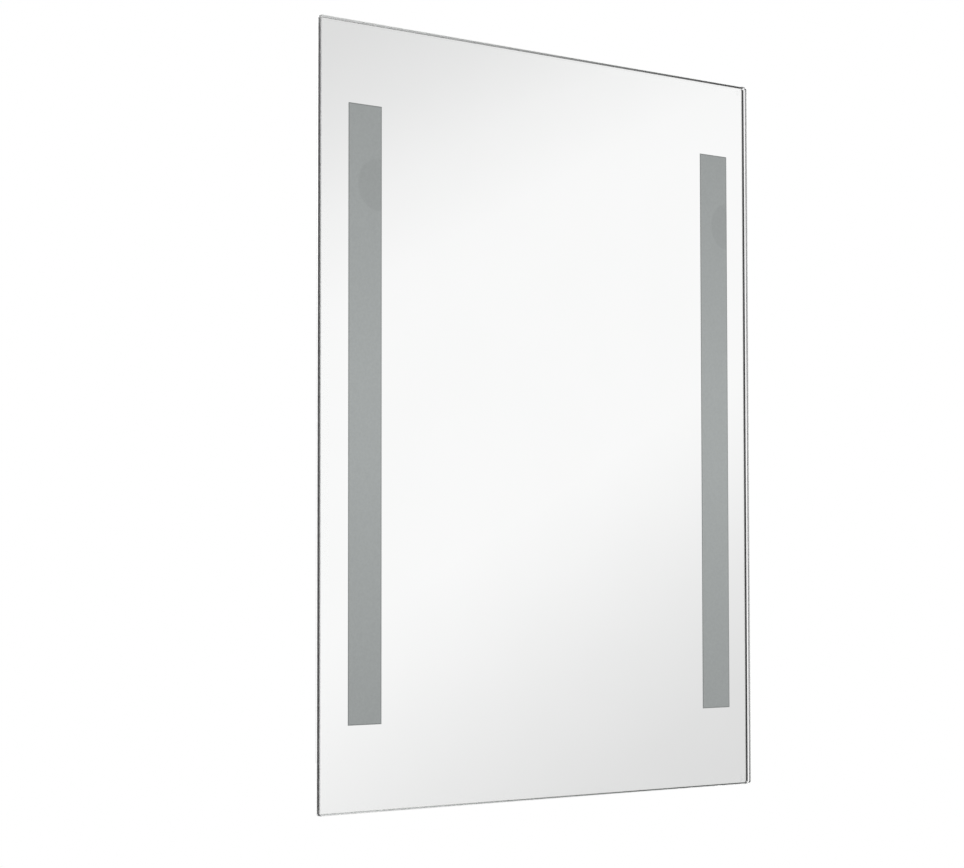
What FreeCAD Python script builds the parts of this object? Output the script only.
import FreeCAD, Part
import math
import os

# Frameless lighted bathroom mirror, hung on a wall rail. Sizes are millimetres.
# X runs to the right as seen from the room, Y into the wall and Z up. The origin
# lies on the wall, midway between the two fixing holes of the wall rail.

Vector = FreeCAD.Vector
RIGHT = Vector(1, 0, 0)
INTO_WALL = Vector(0, 1, 0)
UP = Vector(0, 0, 1)
SIDES = {"left": -1, "right": 1}
ENDS = {"bottom": -1, "top": 1}

# ---- driving dimensions -------------------------------------------------------

# glass
glass_width = 390.0
glass_height = 500.0
glass_thickness = 5.0
corner_clip = 1.6
front_arris = 0.5              # polished, on the room side
back_arris = 1.0               # on the silvered side
glass_above_rail = 90.0        # top edge of the glass above the rail's holes

# frosted film strips on the face of the glass
film_thickness = 0.1
film_inset = 22.2              # from the side edge of the glass
film_width = 27.0
film_end_inset = 54.0          # half of what the strips leave free above and below
film_rise = 1.0                # the strips sit this far above the middle of the glass

# coats on the back of the glass, with a lit window behind each strip
silver_thickness = 0.1
paint_thickness = 0.1
coat_gap = 0.05
silver_inset = 1.2
paint_inset = 1.8
window_cover = 3.0             # each strip reaches this far past its window all round
window_outline = 0.5           # the paint reaches this far into each window of the silver

# chassis frame, folded from sheet
frame_sheet = 1.2
frame_end_room = 19.8          # from each end of a light tray to the frame
frame_depth = 23.0
bond_flange = 12.0
screw_flange = 14.0
bend_radius = 0.6
tape_thickness = 1.0

# rear panel and its screws
wall_gap = 6.0
panel_sheet = 1.0
panel_trim = 0.3               # the panel stays this far inside the frame
panel_screw_radius = 1.45
panel_screw_length = 4.4
panel_screw_head_radius = 2.8
panel_screw_head_height = 1.8
panel_screw_rows = 3
panel_screw_end = 40.0         # first and last side screw from the frame's ends
panel_screw_inset = 35.0       # screws in the top and bottom flanges, from the frame's sides
drive_slot_width = 0.8
drive_slot_depth = 0.7

# shared fits
fit_gap = 0.05                 # round a shank in its hole
seat_gap = 0.1                 # between pieces that only rest against each other
running_gap = 0.3              # between pieces that slide past each other

# corner brackets
bracket_leg = 12.0
bracket_sheet = 1.2
bracket_margin = 2.0           # kept clear of both flanges
rivet_radius = 1.6
rivet_head_radius = 3.0
rivet_head_height = 0.9
rivet_tail_radius = 2.4
rivet_tail_height = 1.0

# wall rail and hanger bracket, two hooks of folded steel
rail_sheet = 1.5
rail_width = 240.0
rail_plate = 28.0
rail_lip = 16.0
rail_hole_spacing = 200.0
rail_hole_radius = 2.75
hanger_width = 220.0
hanger_plate = 28.0
hanger_lip = 14.0
hanger_rivet_rise = 8.0
hanger_rivet_spacing = 60.0
hanger_rivet_count = 4

# wall bumpers
bumper_radius = 8.0
bumper_inset = 35.0            # from the frame's sides
bumper_rise = 25.0

# light trays with their boards
tray_sheet = 0.8
tray_side_margin = 3.2         # inside of the tray beyond the window
tray_end_margin = 6.0
tray_lift = 5.0                # space behind the tray for the panel screws
tray_rivet_count = 3
tray_rivet_end = 60.0
diffuser_thickness = 2.0
board_width = 10.0
board_thickness = 1.0
board_end_margin = 1.0
led_pitch = 16.0
led_width = 3.5
led_height = 2.8
led_thickness = 0.7
board_screw_radius = 1.2
board_screw_head_radius = 2.2
board_screw_head_height = 1.2
board_screw_length = 3.0
board_screw_ends = 2           # led pitches from each end of the board to its screw
connector_width = 8.0
connector_height = 7.0
connector_depth = 4.4
connector_steps = {"left": 6, "right": 3}
tray_lead_hole_radius = 2.0

# wiring plane and leads
lead_depth = 9.0               # leads run this far in front of the rear panel
lead_radius = 1.1
lead_bend = 6.0

# LED driver
driver_width = 120.0
driver_height = 40.0
driver_depth = 18.0
driver_wall = 1.5
driver_cover_thickness = 1.5
driver_tab = 8.0
driver_tab_thickness = 2.0
driver_tab_height = 14.0
driver_screw_length = 3.6
driver_board_thickness = 1.6
driver_board_rise = 3.0
driver_board_margin = 0.3
transformer_width = 20.0
transformer_height = 18.0
transformer_depth = 8.0
capacitor_radius = 4.0
capacitor_length = 9.0
capacitor_shift = 32.0         # left of the middle of the driver
driver_input_spread = 10.0
driver_output_step = 12.0

# terminal block
block_drop = 150.0             # below the middle of the driver
block_pitch = 8.0
block_poles = 3
block_width = 28.0
block_height = 18.0
block_depth = 15.0
block_screw_radius = 1.8
block_screw_length = 4.0
block_screw_row = 4.5

# cable entry and clamp
grommet_drop = 88.0            # below the middle of the driver
grommet_bore_radius = 4.0
grommet_neck_radius = 6.0
grommet_flange_radius = 8.0
grommet_flange = 1.6
clamp_drop = 118.0
clamp_width = 34.0
clamp_height = 9.0
clamp_depth = 11.0
clamp_shoulder = 4.0
clamp_hole_radius = 3.5
clamp_screw_spacing = 25.0
clamp_screw_length = 6.0

# earth stud
earth_shift = 45.0             # left of the middle
earth_drop = 21.0              # below the middle of the terminal block
stud_base_radius = 4.0
stud_base_height = 6.6
stud_radius = 2.0
stud_length = 12.0
ring_radius = 4.2
ring_thickness = 0.8
ring_barrel_radius = 1.7
ring_barrel_length = 9.0
nut_flats = 7.0
nut_height = 3.2

# rocker switch in the underside of the frame
switch_x = 60.0
switch_depth = 9.0             # middle of the switch in front of the rear panel
bezel_width = 21.0
bezel_depth = 15.0
bezel_height = 2.0
switch_width = 18.8
switch_body_depth = 12.8
switch_body_height = 14.0
switch_wall = 0.9
pivot_rise = 3.0               # pivot above the bezel's face
rocker_gap = 0.2
rocker_crown = 3.0             # rocker above its pivot
rocker_sink = 1.9              # middle of the rocker's V below its pivot
rocker_tilt = 12.0             # degrees to each side of the middle
trunnion_radius = 1.2
trunnion_length = 0.8
tab_width = 4.8
tab_thickness = 0.8
tab_length = 8.0
tab_spacing = 10.0

# routes of the leads, as distances below the terminal block's middle or aside
neutral_turn = 31.0
live_turn = 43.0
switched_turn = 63.0
neutral_riser_shift = 90.0     # left of the middle
switched_riser_shift = 100.0   # left of the middle
led_riser_x = 80.0
clip_width = 5.0
clip_base = 9.0
clip_base_thickness = 1.5
clip_wall = 1.4

# ---- places worked out from the dimensions --------------------------------------

glass_half = glass_width / 2
glass_top = glass_above_rail
glass_bottom = glass_top - glass_height
glass_middle = (glass_top + glass_bottom) / 2

panel_outer = -wall_gap
panel_inner = panel_outer - panel_sheet
frame_front = panel_inner - frame_depth
tape_front = frame_front - tape_thickness
paint_front = tape_front - paint_thickness
silver_front = paint_front - silver_thickness
glass_back = silver_front - coat_gap
glass_front = glass_back - glass_thickness

film_height = glass_height - 2 * film_end_inset
window_inset = film_inset + window_cover
window_end_inset = film_end_inset + window_cover
window_width = film_width - 2 * window_cover
window_height = glass_height - 2 * window_end_inset
chassis_inset_x = window_inset - tray_side_margin - tray_sheet - frame_sheet
chassis_inset_z = window_end_inset - tray_end_margin - frame_end_room - frame_sheet
frame_half = glass_half - chassis_inset_x
frame_top = glass_top - chassis_inset_z
frame_bottom = glass_bottom + chassis_inset_z
frame_inner_half = frame_half - frame_sheet
flange_back = panel_inner - frame_sheet

strip_middle = glass_middle + film_rise
window_middle_x = glass_half - window_inset - window_width / 2
tray_outer_x = frame_inner_half
tray_inner_x = 2 * window_middle_x - tray_outer_x
tray_half_height = window_height / 2 + tray_end_margin
tray_back = panel_inner - tray_lift
tray_floor = tray_back - tray_sheet
tray_front = tape_front + diffuser_thickness
board_front = tray_floor - board_thickness
board_length = window_height - 2 * board_end_margin
led_pairs = int(board_length / 2 / led_pitch)
lead_plane = panel_inner - lead_depth

driver_middle = strip_middle + connector_steps["right"] * led_pitch
block_middle = driver_middle - block_drop
switch_y = panel_inner - switch_depth
switch_top = frame_bottom + switch_body_height - bezel_height
pivot_z = frame_bottom - bezel_height + pivot_rise
earth_x = -earth_shift
neutral_riser_x = -neutral_riser_shift
switched_riser_x = -switched_riser_shift
contact = 1e-6                 # two places closer than this are the same


# ---- shape helpers ---------------------------------------------------------------

def box(x_range, y_range, z_range):
    """Box between two values along each axis, given in either order."""
    low = Vector(min(x_range), min(y_range), min(z_range))
    high = Vector(max(x_range), max(y_range), max(z_range))
    size = high - low
    return Part.makeBox(size.x, size.y, size.z, low)


def around(middle, size):
    """Range of the given size about a middle value."""
    return (middle - size / 2, middle + size / 2)


def rod(radius, start, end):
    """Cylinder from one point to another."""
    axis = end - start
    return Part.makeCylinder(radius, axis.Length, start, axis)


def drill(shape, radius, points, axis=INTO_WALL):
    """Cut a round hole right through at each point."""
    reach = axis * glass_height
    for point in points:
        shape = shape.cut(rod(radius, point - reach, point + reach))
    return shape


def prism(points, travel):
    """Solid swept straight from a flat outline."""
    outline = Part.makePolygon(points + [points[0]])
    return Part.Face(outline).extrude(travel)


def round_edges(shape, corners, run, radius):
    """Round the edges that run along one direction through the given corners."""
    chosen = []
    for edge in shape.Edges:
        first = edge.Vertexes[0].Point
        last = edge.Vertexes[-1].Point
        if (last - first).cross(run).Length > contact:
            continue
        for corner in corners:
            if (first - corner).cross(run).Length < contact:
                chosen.append(edge)
    return shape.makeFillet(radius, chosen)


def z_section(start, inward, forward, run, leg_in, depth, leg_out, sheet):
    """Folded strip: one leg inward at the back, one leg outward at the front."""
    def at(p, q):
        return start + inward * p + forward * q
    outline = [at(0, 0), at(leg_in, 0), at(leg_in, sheet), at(sheet, sheet), at(sheet, depth),
               at(-leg_out, depth), at(-leg_out, depth - sheet), at(0, depth - sheet)]
    strip = prism(outline, run)
    along = Vector(run).normalize()
    inner = min(bend_radius, 0.4 * (depth - 2 * sheet))
    strip = round_edges(strip, [at(sheet, sheet), at(0, depth - sheet)], along, inner)
    return round_edges(strip, [at(0, 0), at(sheet, depth)], along, inner + sheet)


def screw(seat, axis, head_radius, head_height, radius, length):
    """Slotted pan-head screw: head on the near side of its seat, shank along the axis."""
    head = rod(head_radius, seat, seat - axis * head_height)
    rim = [edge for edge in head.Edges if abs(edge.CenterOfMass.dot(axis) - seat.dot(axis)) > contact
           and edge.Closed]
    head = head.makeFillet(head_height / 3, rim)
    across = RIGHT if abs(axis.dot(RIGHT)) < 0.5 else UP
    thickness = axis.cross(across)
    corner = seat - axis * head_height - across * head_radius - thickness * (drive_slot_width / 2)
    slot = prism([corner, corner + across * 2 * head_radius,
                  corner + across * 2 * head_radius + thickness * drive_slot_width,
                  corner + thickness * drive_slot_width], axis * drive_slot_depth)
    return head.cut(slot).fuse(rod(radius, seat, seat + axis * length))


def rivet(seat, axis, grip):
    """Blind rivet: domed head on the near side, set tail beyond the grip."""
    head = rod(rivet_head_radius, seat, seat - axis * rivet_head_height)
    tail = rod(rivet_tail_radius, seat + axis * grip, seat + axis * (grip + rivet_tail_height))
    return head.fuse([rod(rivet_radius, seat, seat + axis * grip), tail])


def lead(name, route):
    """Insulated wire along straight runs joined by tangent arcs."""
    edges = []
    start = route[0]
    for before, corner, after in zip(route, route[1:], route[2:]):
        back = (before - corner).normalize()
        ahead = (after - corner).normalize()
        half_turn = (math.pi - back.getAngle(ahead)) / 2
        tangent = lead_bend * math.tan(half_turn)
        arc_start = corner + back * tangent
        arc_end = corner + ahead * tangent
        crown = lead_bend / math.cos(half_turn) - lead_bend
        arc_middle = corner + (back + ahead).normalize() * crown
        edges.append(Part.LineSegment(start, arc_start).toShape())
        edges.append(Part.Arc(arc_start, arc_middle, arc_end).toShape())
        start = arc_end
    edges.append(Part.LineSegment(start, route[-1]).toShape())
    path = Part.Wire(edges)
    section = Part.Wire(Part.makeCircle(lead_radius, route[0], route[1] - route[0]))
    wire = path.makePipeShell([section], True, False)
    plain = math.pi * lead_radius ** 2 * path.Length
    print(f"{name}: {path.Length:.1f} mm long, volume {wire.Volume:.1f} of {plain:.1f} mm3")
    return wire


# ---- glass and coats -------------------------------------------------------------

def window_boxes(grow, y_range):
    """The two lit windows as boxes, each side moved out by the same amount."""
    boxes = []
    for side in SIDES.values():
        x_range = around(side * window_middle_x, window_width + 2 * grow)
        z_range = around(strip_middle, window_height + 2 * grow)
        boxes.append(box(x_range, y_range, z_range))
    return boxes


def mirror_glass():
    half = glass_half
    inner_half = glass_half - corner_clip
    low, high = glass_bottom + corner_clip, glass_top - corner_clip
    corners = [(-inner_half, glass_bottom), (inner_half, glass_bottom), (half, low), (half, high),
               (inner_half, glass_top), (-inner_half, glass_top), (-half, high), (-half, low)]
    outline = [Vector(x, glass_back, z) for x, z in corners]
    sheet = prism(outline, -INTO_WALL * glass_thickness)
    rims = [edge for edge in sheet.Edges if edge.BoundBox.YMin > glass_back - contact]
    sheet = sheet.makeChamfer(back_arris, rims)
    rims = [edge for edge in sheet.Edges if edge.BoundBox.YMax < glass_front + contact]
    return sheet.makeChamfer(front_arris, rims)


def frosted_strips():
    """Two upright strips of frosted film, one in front of each window."""
    y_range = (glass_front, glass_front - film_thickness)
    z_range = around(strip_middle, film_height)
    return [box(around(side * window_middle_x, film_width), y_range, z_range) for side in SIDES.values()]


def coat(inset, y_range, grow):
    """Thin coat on the back of the glass, open at both windows."""
    x_range = (-glass_half + inset, glass_half - inset)
    z_range = (glass_bottom + inset, glass_top - inset)
    return box(x_range, y_range, z_range).cut(window_boxes(grow, y_range))


def bonding_tape(place):
    """Double-sided tape between a front flange and the painted back of the glass."""
    y_range = (frame_front, tape_front)
    if place in SIDES:
        edge = SIDES[place] * frame_half
        return box((edge, edge + SIDES[place] * bond_flange), y_range, (frame_bottom, frame_top))
    end = frame_top if place == "top" else frame_bottom
    return box((-frame_half, frame_half), y_range, (end, end + ENDS[place] * bond_flange))


# ---- chassis ----------------------------------------------------------------------

def side_screw_heights():
    first = frame_bottom + panel_screw_end
    last = frame_top - panel_screw_end
    step = (last - first) / (panel_screw_rows - 1)
    return [first + step * row for row in range(panel_screw_rows)]


def panel_screw_points():
    """Seats of the rear panel's screws, on its outer face."""
    half = frame_half - screw_flange / 2
    cross_half = frame_half - panel_screw_inset
    points = [Vector(side * half, panel_outer, z) for side in SIDES.values() for z in side_screw_heights()]
    for end in (frame_bottom + screw_flange / 2, frame_top - screw_flange / 2):
        points += [Vector(side * cross_half, panel_outer, end) for side in SIDES.values()]
    return points


def corner_rivet_points(side, end):
    """Seats of one corner's two rivets: in the upright's wall and in the cross wall."""
    middle_y = (panel_inner + frame_front) / 2
    end_z = frame_top if end > 0 else frame_bottom
    middle_leg = frame_sheet + bracket_leg / 2
    upright = Vector(side * frame_half, middle_y, end_z - end * middle_leg)
    cross = Vector(side * (frame_half - middle_leg), middle_y, end_z)
    return upright, cross


def tray_rivet_heights():
    reach = tray_half_height - tray_rivet_end
    step = 2 * reach / (tray_rivet_count - 1)
    return [strip_middle - reach + step * row for row in range(tray_rivet_count)]


def tray_rivet_points(side):
    middle_y = (tray_floor + tray_front) / 2
    return [Vector(side * frame_half, middle_y, z) for z in tray_rivet_heights()]


def frame_side(side):
    """Upright of the frame, with its screw and rivet holes."""
    start = Vector(side * frame_half, panel_inner, frame_bottom)
    upright = z_section(start, -RIGHT * side, -INTO_WALL, UP * (frame_top - frame_bottom),
                        screw_flange, frame_depth, bond_flange, frame_sheet)
    upright = drill(upright, panel_screw_radius + fit_gap, panel_screw_points()[:2 * panel_screw_rows])
    holes = tray_rivet_points(side) + [corner_rivet_points(side, end)[0] for end in ENDS.values()]
    return drill(upright, rivet_radius + fit_gap, holes, RIGHT)


def frame_end(end):
    """Top or bottom of the frame, fitted between the uprights."""
    edge = frame_top if end > 0 else frame_bottom
    start = Vector(-frame_inner_half, panel_inner, edge)
    strip = z_section(start, -UP * end, -INTO_WALL, RIGHT * 2 * frame_inner_half,
                      screw_flange, frame_depth, bond_flange, frame_sheet)
    for side in SIDES.values():
        corner_x = (side * frame_inner_half, side * (frame_half - screw_flange - panel_trim))
        notch_z = (edge + end * frame_sheet, edge - end * 2 * screw_flange)
        strip = strip.cut(box(corner_x, (panel_inner, flange_back - bend_radius), notch_z))
    strip = drill(strip, panel_screw_radius + fit_gap, panel_screw_points()[2 * panel_screw_rows:])
    holes = [corner_rivet_points(side, end)[1] for side in SIDES.values()]
    strip = drill(strip, rivet_radius + fit_gap, holes, UP)
    if end < 0:
        opening_x = around(switch_x, switch_width + 2 * seat_gap)
        opening_y = around(switch_y, switch_body_depth + 2 * seat_gap)
        strip = strip.cut(box(opening_x, opening_y, (edge - frame_sheet, edge + 2 * frame_sheet)))
    return strip


def corner_bracket(side, end):
    """Angle that ties an upright to a cross piece, riveted to both."""
    edge = frame_top if end > 0 else frame_bottom
    corner_x = side * frame_inner_half
    corner_z = edge - end * frame_sheet
    y_range = (flange_back - bracket_margin, frame_front + frame_sheet + bracket_margin)
    x_long = (corner_x, corner_x - side * bracket_leg)
    x_short = (corner_x, corner_x - side * bracket_sheet)
    z_long = (corner_z, corner_z - end * bracket_leg)
    z_short = (corner_z, corner_z - end * bracket_sheet)
    flat_x = box(x_short, y_range, z_long)
    flat_z = box(x_long, y_range, z_short)
    angle = flat_x.fuse(flat_z).removeSplitter()
    upright, cross = corner_rivet_points(side, end)
    angle = drill(angle, rivet_radius + fit_gap, [upright], RIGHT)
    return drill(angle, rivet_radius + fit_gap, [cross], UP)


def corner_rivets():
    rivets = []
    for side in SIDES.values():
        for end in ENDS.values():
            upright, cross = corner_rivet_points(side, end)
            rivets.append(rivet(upright, -RIGHT * side, frame_sheet + bracket_sheet))
            rivets.append(rivet(cross, -UP * end, frame_sheet + bracket_sheet))
    return rivets


def hanger_rivet_points():
    reach = hanger_rivet_spacing * (hanger_rivet_count - 1) / 2
    seat_y = panel_outer + rail_sheet
    return [Vector(hanger_rivet_spacing * number - reach, seat_y, hanger_bottom() + hanger_rivet_rise)
            for number in range(hanger_rivet_count)]


def grommet_point():
    return Vector(0, panel_outer, driver_middle - grommet_drop)


def rear_panel():
    half = frame_half - panel_trim
    z_range = (frame_bottom + panel_trim, frame_top - panel_trim)
    panel = box((-half, half), (panel_outer, panel_inner), z_range)
    screw_points = panel_screw_points() + driver_screw_points() + clamp_screw_points()
    panel = drill(panel, panel_screw_radius + fit_gap, screw_points)
    panel = drill(panel, rivet_radius + fit_gap, hanger_rivet_points())
    return drill(panel, grommet_neck_radius + fit_gap, [grommet_point()])


def panel_screws():
    return [screw(point, -INTO_WALL, panel_screw_head_radius, panel_screw_head_height,
                  panel_screw_radius, panel_screw_length) for point in panel_screw_points()]


# ---- wall rail and hanger ------------------------------------------------------------

def rail_shoulder():
    """Height at which the rail's lip steps away from the wall."""
    return rail_plate / 2


def rail_offset():
    """Depth of the rail over its lip: room for the hanger's lip, then the rail's own."""
    return 2 * running_gap + 2 * rail_sheet


def hanger_bottom():
    """Underside of the hanger's fold, which sits on the rail's lip."""
    return rail_shoulder() + rail_lip + seat_gap


def wall_rail():
    start = Vector(-rail_width / 2, 0, rail_shoulder())
    rail = z_section(start, -UP, -INTO_WALL, RIGHT * rail_width,
                     rail_plate, rail_offset(), rail_lip, rail_sheet)
    points = [Vector(side * rail_hole_spacing / 2, 0, 0) for side in SIDES.values()]
    return drill(rail, rail_hole_radius, points)


def hanger_bracket():
    start = Vector(-hanger_width / 2, panel_outer, hanger_bottom())
    hanger = z_section(start, UP, INTO_WALL, RIGHT * hanger_width,
                       hanger_plate, wall_gap - running_gap, hanger_lip, rail_sheet)
    return drill(hanger, rivet_radius + fit_gap, hanger_rivet_points())


def hanger_rivets():
    return [rivet(point, -INTO_WALL, rail_sheet + panel_sheet) for point in hanger_rivet_points()]


def wall_bumper(side):
    """Soft stop that keeps the lower end off the wall."""
    height = frame_bottom + screw_flange + bumper_rise
    middle = Vector(side * (frame_half - bumper_inset), panel_outer, height)
    pad = rod(bumper_radius, middle, middle + INTO_WALL * wall_gap)
    rim = [edge for edge in pad.Edges if edge.Closed and abs(edge.CenterOfMass.y) < contact]
    return pad.makeFillet(bend_radius, rim)


# ---- light trays -----------------------------------------------------------------------

def connector_height_at(side_name):
    return strip_middle + connector_steps[side_name] * led_pitch


def light_tray(side_name):
    """White tray behind a window, open to the front."""
    side = SIDES[side_name]
    x_range = (side * tray_outer_x, side * tray_inner_x)
    z_range = around(strip_middle, 2 * tray_half_height)
    tray = box(x_range, (tray_back, tray_front), z_range)
    hollow_x = (side * (tray_outer_x - tray_sheet), side * (tray_inner_x + tray_sheet))
    hollow_z = around(strip_middle, 2 * (tray_half_height - tray_sheet))
    tray = tray.cut(box(hollow_x, (tray_floor, tray_front), hollow_z))
    inner_wall = (side * (tray_inner_x - tray_sheet), side * (tray_inner_x + 2 * tray_sheet))
    entry = [Vector(x, lead_plane, connector_height_at(side_name)) for x in inner_wall]
    tray = tray.cut(rod(tray_lead_hole_radius, *entry))
    outer_wall = (side * (tray_outer_x + tray_sheet), side * (tray_outer_x - 2 * tray_sheet))
    for point in tray_rivet_points(side):
        ends = [Vector(x, point.y, point.z) for x in outer_wall]
        tray = tray.cut(rod(rivet_radius + fit_gap, *ends))
    return drill(tray, board_screw_radius + fit_gap, board_screw_points(side))


def tray_rivets():
    return [rivet(point, -RIGHT * side, frame_sheet + tray_sheet)
            for side in SIDES.values() for point in tray_rivet_points(side)]


def board_screw_points(side):
    """Seats of a board's screws, each midway between two LEDs."""
    end = led_pairs - board_screw_ends
    return [Vector(side * window_middle_x, board_front, strip_middle + step * led_pitch)
            for step in (-end, 0, end)]


def led_board(side):
    x_range = around(side * window_middle_x, board_width)
    z_range = around(strip_middle, board_length)
    board = box(x_range, (tray_floor, board_front), z_range)
    return drill(board, board_screw_radius + fit_gap, board_screw_points(side))


def board_screws():
    return [screw(point, INTO_WALL, board_screw_head_radius, board_screw_head_height,
                  board_screw_radius, board_screw_length)
            for side in SIDES.values() for point in board_screw_points(side)]


def led_chips(side):
    chips = []
    for number in range(-led_pairs, led_pairs):
        z = strip_middle + (number + 0.5) * led_pitch
        chips.append(box(around(side * window_middle_x, led_width),
                         (board_front, board_front - led_thickness), around(z, led_height)))
    return chips


def led_connector(side_name):
    side = SIDES[side_name]
    x_range = around(side * window_middle_x, connector_width)
    z_range = around(connector_height_at(side_name), connector_height)
    return box(x_range, (board_front, board_front - connector_depth), z_range)


def diffuser(side):
    """Opal sheet over the mouth of a tray, against the painted back of the glass."""
    x_range = (side * (tray_outer_x - seat_gap), side * tray_inner_x)
    return box(x_range, (tray_front, tape_front), around(strip_middle, 2 * tray_half_height))


# ---- driver ------------------------------------------------------------------------------

driver_front = panel_inner - driver_depth
driver_shell_front = driver_front + driver_cover_thickness
driver_board_back = panel_inner - driver_wall - driver_board_rise
driver_board_front = driver_board_back - driver_board_thickness


def driver_lead_points():
    """Where the four leads enter: two at the left end, two at the right end."""
    left = -driver_width / 2
    low = Vector(left, lead_plane, driver_middle - driver_input_spread / 2)
    high = Vector(left, lead_plane, driver_middle + driver_input_spread / 2)
    right = Vector(driver_width / 2, lead_plane, driver_middle)
    right_high = right + UP * driver_output_step
    return {"neutral": low, "switched": high, "led_right": right, "led_left": right_high}


def driver_screw_points():
    reach = (driver_width + driver_tab) / 2
    seat_y = panel_inner - driver_tab_thickness
    return [Vector(side * reach, seat_y, driver_middle) for side in SIDES.values()]


def driver_case():
    """Open box with two fixing ears."""
    z_range = around(driver_middle, driver_height)
    shell = box(around(0, driver_width), (panel_inner, driver_shell_front), z_range)
    hollow_x = around(0, driver_width - 2 * driver_wall)
    hollow_z = around(driver_middle, driver_height - 2 * driver_wall)
    shell = shell.cut(box(hollow_x, (panel_inner - driver_wall, driver_shell_front), hollow_z))
    ears = box(around(0, driver_width + 2 * driver_tab), (panel_inner, panel_inner - driver_tab_thickness),
               around(driver_middle, driver_tab_height))
    shell = shell.fuse(ears).removeSplitter()
    for point in driver_lead_points().values():
        inward = Vector(-math.copysign(2 * driver_wall, point.x), 0, 0)
        shell = shell.cut(rod(lead_radius + fit_gap, point - inward, point + inward))
    rails_x = around(0, driver_width - 2 * driver_wall)
    for end in ENDS.values():
        wall_z = driver_middle + end * (driver_height / 2 - driver_wall)
        ledge_z = (wall_z, wall_z - end * driver_wall)
        shell = shell.fuse(box(rails_x, (panel_inner - driver_wall, driver_board_back), ledge_z))
    return drill(shell.removeSplitter(), panel_screw_radius + fit_gap, driver_screw_points())


def driver_cover():
    z_range = around(driver_middle, driver_height)
    return box(around(0, driver_width), (driver_shell_front, driver_front), z_range)


def driver_board():
    trim = 2 * (driver_wall + driver_board_margin)
    return box(around(0, driver_width - trim - 2 * lead_radius), (driver_board_back, driver_board_front),
               around(driver_middle, driver_height - trim))


def driver_transformer():
    core = box(around(0, transformer_width), (driver_board_front, driver_board_front - transformer_depth),
               around(driver_middle, transformer_height))
    rims = [edge for edge in core.Edges if edge.BoundBox.YLength > transformer_depth / 2]
    return core.makeFillet(bend_radius, rims)


def driver_capacitor():
    start = Vector(-capacitor_shift, driver_board_front, driver_middle)
    can = rod(capacitor_radius, start, start - INTO_WALL * capacitor_length)
    rim = [edge for edge in can.Edges if edge.Closed and edge.CenterOfMass.y < start.y - contact]
    return can.makeFillet(bend_radius, rim)


def driver_screws():
    return [screw(point, INTO_WALL, panel_screw_head_radius, panel_screw_head_height,
                  panel_screw_radius, driver_screw_length) for point in driver_screw_points()]


# ---- terminals, cable entry, earth -----------------------------------------------------------

def pole_x(number):
    return (number - (block_poles - 1) / 2) * block_pitch


def block_screw_points():
    front = panel_inner - block_depth
    return [Vector(pole_x(number), front + block_screw_radius, block_middle + row * block_screw_row)
            for number in range(block_poles) for row in ENDS.values()]


def terminal_block():
    block = box(around(0, block_width), (panel_inner, panel_inner - block_depth),
                around(block_middle, block_height))
    for number in range(block_poles - 1):
        notch_x = around((pole_x(number) + pole_x(number + 1)) / 2, block_screw_radius)
        notch_y = (panel_inner - block_depth, panel_inner - block_depth + 2 * block_screw_radius)
        block = block.cut(box(notch_x, notch_y, around(block_middle, block_height)))
    for point in block_screw_points():
        hole = rod(block_screw_radius + fit_gap, point + INTO_WALL * block_screw_length,
                   point - INTO_WALL * block_depth)
        block = block.cut(hole)
    return block


def terminal_screws():
    screws = []
    for point in block_screw_points():
        body = rod(block_screw_radius, point, point + INTO_WALL * block_screw_length)
        slot = box(around(point.x, 2 * block_screw_radius), (point.y, point.y + drive_slot_depth),
                   around(point.z, drive_slot_width))
        screws.append(body.cut(slot))
    return screws


def cable_grommet():
    """Rubber ring in the rear panel, with a groove for the sheet."""
    middle = grommet_point()
    back = middle + INTO_WALL * grommet_flange
    front = middle - INTO_WALL * (panel_sheet + grommet_flange)
    ring = rod(grommet_neck_radius, back, front)
    ring = ring.fuse([rod(grommet_flange_radius, middle, back),
                      rod(grommet_flange_radius, middle - INTO_WALL * panel_sheet, front)])
    return ring.cut(rod(grommet_bore_radius, back, front))


def clamp_screw_points():
    reach = clamp_screw_spacing / 2
    seat_y = panel_inner - clamp_shoulder
    return [Vector(side * reach, seat_y, driver_middle - clamp_drop) for side in SIDES.values()]


def cable_clamp():
    """Saddle that grips the supply cable, screwed to the rear panel."""
    z_range = around(driver_middle - clamp_drop, clamp_height)
    bar = box(around(0, clamp_width), (panel_inner, panel_inner - clamp_shoulder), z_range)
    arch_width = 2 * (clamp_hole_radius + clamp_shoulder / 2)
    bar = bar.fuse(box(around(0, arch_width), (panel_inner, panel_inner - clamp_depth), z_range))
    middle_y = panel_inner - clamp_hole_radius
    tunnel = rod(clamp_hole_radius, Vector(0, middle_y, z_range[0]), Vector(0, middle_y, z_range[1]))
    bar = bar.removeSplitter().cut(tunnel)
    bar = bar.cut(box(around(0, 2 * clamp_hole_radius), (panel_inner, middle_y), z_range))
    return drill(bar, panel_screw_radius + fit_gap, clamp_screw_points())


def clamp_screws():
    return [screw(point, INTO_WALL, panel_screw_head_radius, panel_screw_head_height,
                  panel_screw_radius, clamp_screw_length) for point in clamp_screw_points()]


earth_point = Vector(earth_x, panel_inner, block_middle - earth_drop)
ring_back = panel_inner - stud_base_height


def earth_stud():
    shoulder = earth_point - INTO_WALL * stud_base_height
    return rod(stud_base_radius, earth_point, shoulder).fuse(
        rod(stud_radius, shoulder, shoulder - INTO_WALL * stud_length))


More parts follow.
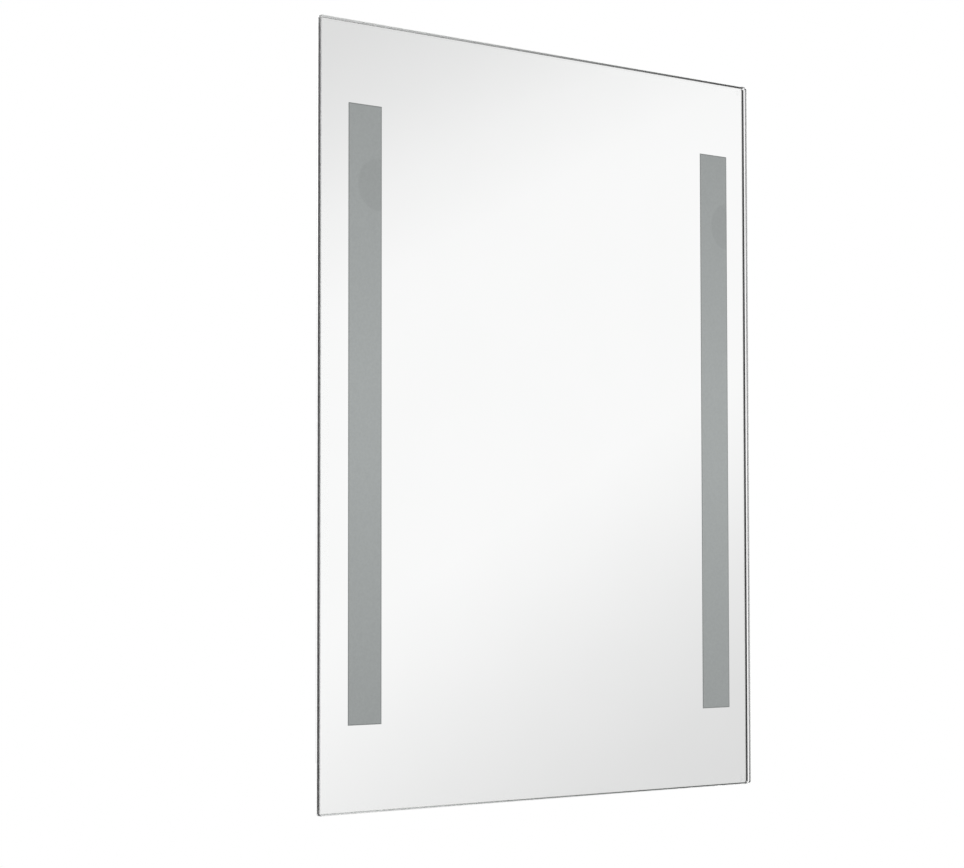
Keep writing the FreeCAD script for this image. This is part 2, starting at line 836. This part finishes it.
def earth_ring():
    """Ring terminal: an eye on the stud and a crimped barrel beside it."""
    middle = Vector(earth_point.x, ring_back, earth_point.z)
    eye = rod(ring_radius, middle, middle - INTO_WALL * ring_thickness)
    start = Vector(earth_x + stud_radius + ring_barrel_radius, lead_plane, earth_point.z)
    barrel = rod(ring_barrel_radius, start, start + RIGHT * ring_barrel_length)
    tongue = box((start.x, start.x + ring_barrel_length / 2), (ring_back, lead_plane),
                 around(earth_point.z, ring_barrel_radius))
    link = box((earth_x, start.x + ring_barrel_length / 2), (ring_back, ring_back - ring_thickness),
               around(earth_point.z, ring_barrel_radius))
    hole = rod(stud_radius + fit_gap, middle, middle - INTO_WALL * stud_length)
    return eye.fuse([barrel, tongue, link]).cut(hole)


def earth_nut():
    radius = nut_flats / math.sqrt(3)
    seat = Vector(earth_x, ring_back - ring_thickness, earth_point.z)
    outline = []
    for corner in range(6):
        angle = math.radians(60 * corner)
        outline.append(seat + RIGHT * radius * math.sin(angle) + UP * radius * math.cos(angle))
    nut = prism(outline, -INTO_WALL * nut_height)
    return nut.cut(rod(stud_radius + fit_gap, seat, seat - INTO_WALL * nut_height))


# ---- rocker switch -----------------------------------------------------------------------------

pivot = Vector(switch_x, switch_y, pivot_z)
socket_radius = switch_width / 2 - switch_wall
socket_depth = switch_body_depth - 2 * (switch_wall + rocker_gap)
rocker_radius = socket_radius - running_gap
rocker_depth = socket_depth - 2 * rocker_gap


def switch_body():
    """Snap-in body with its bezel, hollow below for the rocker."""
    bezel_z = (frame_bottom - bezel_height, frame_bottom)
    bezel = box(around(switch_x, bezel_width), around(switch_y, bezel_depth), bezel_z)
    rims = [edge for edge in bezel.Edges if edge.BoundBox.ZLength > bezel_height / 2]
    bezel = bezel.makeFillet(bend_radius * 2, rims)
    body_y = around(switch_y, switch_body_depth)
    body = bezel.fuse(box(around(switch_x, switch_width), body_y, (frame_bottom, switch_top)))
    reach = INTO_WALL * (socket_depth / 2)
    socket = rod(socket_radius, pivot - reach, pivot + reach)
    mouth = box(around(switch_x, 2 * socket_radius), around(switch_y, socket_depth), (pivot_z, bezel_z[0]))
    bearing_reach = INTO_WALL * (rocker_depth / 2 + trunnion_length + rocker_gap)
    bearing = rod(trunnion_radius + fit_gap, pivot - bearing_reach, pivot + bearing_reach)
    return body.cut([socket, mouth, bearing])


def switch_rocker():
    """Rocker in its off position: the outline below the pivot is a shallow V."""
    reach = rocker_radius
    drop = rocker_sink + reach * math.tan(math.radians(rocker_tilt))
    half_depth = INTO_WALL * (rocker_depth / 2)
    profile = [Vector(-reach, 0, rocker_crown), Vector(-reach, 0, -drop), Vector(0, 0, -rocker_sink),
               Vector(reach, 0, -drop), Vector(reach, 0, rocker_crown)]
    wedge = prism([pivot + point - half_depth for point in profile], half_depth * 2)
    body = wedge.common(rod(rocker_radius, pivot - half_depth, pivot + half_depth))
    trunnion_reach = half_depth + INTO_WALL * trunnion_length
    body = body.fuse(rod(trunnion_radius, pivot - trunnion_reach, pivot + trunnion_reach))
    body.rotate(pivot, INTO_WALL, rocker_tilt)
    return body


def switch_tabs():
    """Two blade terminals on top of the switch."""
    return [box(around(switch_x + side * tab_spacing / 2, tab_thickness), around(switch_y, tab_width),
                (switch_top, switch_top + tab_length)) for side in SIDES.values()]


# ---- leads ---------------------------------------------------------------------------------------

def at(x, z):
    """Point in the plane in which the leads run."""
    return Vector(x, lead_plane, z)


def routes():
    """Corner points of every lead, in the wiring plane."""
    block_foot = block_middle - block_height / 2
    tab_top = switch_top + tab_length
    tab_x = [switch_x - tab_spacing / 2, switch_x + tab_spacing / 2]
    driver = driver_lead_points()
    earth_end = earth_x + stud_radius + ring_barrel_radius + ring_barrel_length
    found = {
        "live_lead": [at(pole_x(2), block_foot), at(pole_x(2), block_middle - live_turn),
                      at(tab_x[1], block_middle - live_turn), at(tab_x[1], tab_top)],
        "neutral_lead": [at(pole_x(1), block_foot), at(pole_x(1), block_middle - neutral_turn),
                         at(neutral_riser_x, block_middle - neutral_turn),
                         at(neutral_riser_x, driver["neutral"].z), driver["neutral"]],
        "switched_lead": [at(tab_x[0], tab_top), at(tab_x[0], block_middle - switched_turn),
                          at(switched_riser_x, block_middle - switched_turn),
                          at(switched_riser_x, driver["switched"].z), driver["switched"]],
        "earth_lead": [at(pole_x(0), block_foot), at(pole_x(0), earth_point.z),
                       at(earth_end, earth_point.z)]}
    end_x = window_middle_x - connector_width / 2
    right_z = connector_height_at("right")
    left_z = connector_height_at("left")
    found["led_lead_right"] = [driver["led_right"], at(end_x, right_z)]
    found["led_lead_left"] = [driver["led_left"], at(led_riser_x, driver["led_left"].z),
                              at(led_riser_x, left_z), at(-end_x, left_z)]
    return found


def clip(point, run):
    """Stick-on clip: a foot on the rear panel and an eye round the lead."""
    across = UP if abs(run.dot(UP)) < 0.5 else RIGHT
    half_run = run * (clip_width / 2)
    half_across = across * (lead_radius + fit_gap + clip_wall)
    base_run = run * (clip_base / 2)
    base_across = across * (clip_base / 2)
    foot = Vector(point.x, panel_inner, point.z)
    top = point.y - lead_radius - fit_gap - clip_wall
    base = prism([foot - base_run - base_across, foot + base_run - base_across,
                  foot + base_run + base_across, foot - base_run + base_across],
                 -INTO_WALL * clip_base_thickness)
    post = prism([foot - half_run - half_across, foot + half_run - half_across,
                  foot + half_run + half_across, foot - half_run + half_across],
                 INTO_WALL * (top - panel_inner))
    eye = rod(lead_radius + fit_gap, point - base_run, point + base_run)
    return base.fuse(post).removeSplitter().cut(eye)


def lead_clips():
    neutral_z = block_middle - neutral_turn
    switched_z = block_middle - switched_turn
    live_z = block_middle - live_turn
    left_z = connector_height_at("left")
    neutral_clip_z = (block_middle + driver_middle) / 2
    switched_clip_z = neutral_clip_z + 2 * clip_base
    spots = [(at(neutral_riser_x / 2, neutral_z), RIGHT), (at(neutral_riser_x, neutral_clip_z), UP),
             (at(switched_riser_x / 2, switched_z), RIGHT), (at(switched_riser_x, switched_clip_z), UP),
             (at(switch_x / 2, live_z), RIGHT), (at(-led_riser_x, left_z), RIGHT), (at(0, left_z), RIGHT)]
    return [clip(point, run) for point, run in spots]


# ---- write every piece -------------------------------------------------------------------------------

def pieces():
    """Name and shape, or group of separate solids, of each piece."""
    found = {"mirror_glass": mirror_glass(),
             "frosted_strips": frosted_strips(),
             "silver_layer": coat(silver_inset, (paint_front, silver_front), window_outline),
             "backing_paint": coat(paint_inset, (tape_front, paint_front), 0)}
    for place in list(SIDES) + list(ENDS):
        found[f"bonding_tape_{place}"] = bonding_tape(place)
    for name, side in SIDES.items():
        found[f"frame_side_{name}"] = frame_side(side)
        found[f"wall_bumper_{name}"] = wall_bumper(side)
        found[f"light_tray_{name}"] = light_tray(name)
        found[f"led_board_{name}"] = led_board(side)
        found[f"led_chips_{name}"] = led_chips(side)
        found[f"led_connector_{name}"] = led_connector(name)
        found[f"diffuser_{name}"] = diffuser(side)
        for end_name, end in ENDS.items():
            found[f"corner_bracket_{end_name}_{name}"] = corner_bracket(side, end)
    for name, end in ENDS.items():
        found[f"frame_{name}"] = frame_end(end)
    for build in (corner_rivets, rear_panel, panel_screws, wall_rail, hanger_bracket, hanger_rivets,
                  tray_rivets, board_screws, driver_case, driver_cover, driver_board, driver_transformer,
                  driver_capacitor, driver_screws, terminal_block, terminal_screws, cable_grommet,
                  cable_clamp, clamp_screws, earth_stud, earth_ring, earth_nut, switch_body,
                  switch_rocker, switch_tabs, lead_clips):
        found[build.__name__] = build()
    for name, route in routes().items():
        found[name] = lead(name, route)
    return found


os.makedirs("parts", exist_ok=True)
for name, shape in pieces().items():
    if isinstance(shape, list):
        shape = Part.makeCompound(shape)
    shape.exportStep(f"parts/{name}.step")
    print(f"{name}: {len(shape.Solids)} solid(s), {shape.Volume:.1f} mm3, valid {shape.isValid()}")
